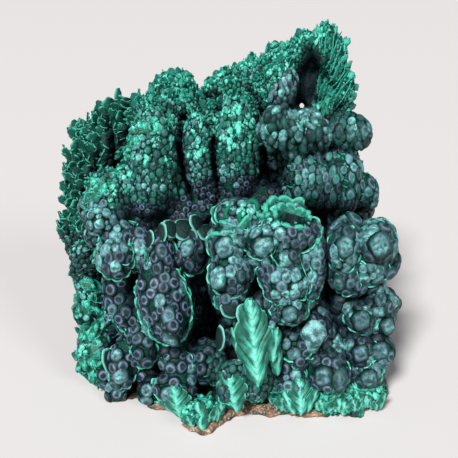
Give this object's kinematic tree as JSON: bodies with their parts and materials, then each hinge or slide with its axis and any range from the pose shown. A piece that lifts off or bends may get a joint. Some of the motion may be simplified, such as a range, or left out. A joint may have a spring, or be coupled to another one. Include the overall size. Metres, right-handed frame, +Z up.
{
  "type": "malachite specimen",
  "caption": "Upright display specimen of botryoidal and feathery green malachite on a thin plate of host rock, with a flat base to stand on.",
  "frame": {"origin": "under the middle of the specimen's box, on the surface that it stands on", "axes": "+Z up, the front with the open hollow and the feathery fans faces -Y, +X to the right seen from the front, where the tall peak is"},
  "size_m": [0.1972, 0.1178, 0.2006],
  "materials": {
    "malachite": "silky botryoidal malachite: near-black teal lobes with grey-lavender rings, emerald creases and mint-green broken edges",
    "host_rock": "matt broken brown limonite rock with ochre patches"
  },
  "bodies": {
    "root": {"malachite": "malachite", "matrix": "host_rock"}
  },
  "joints": []
}
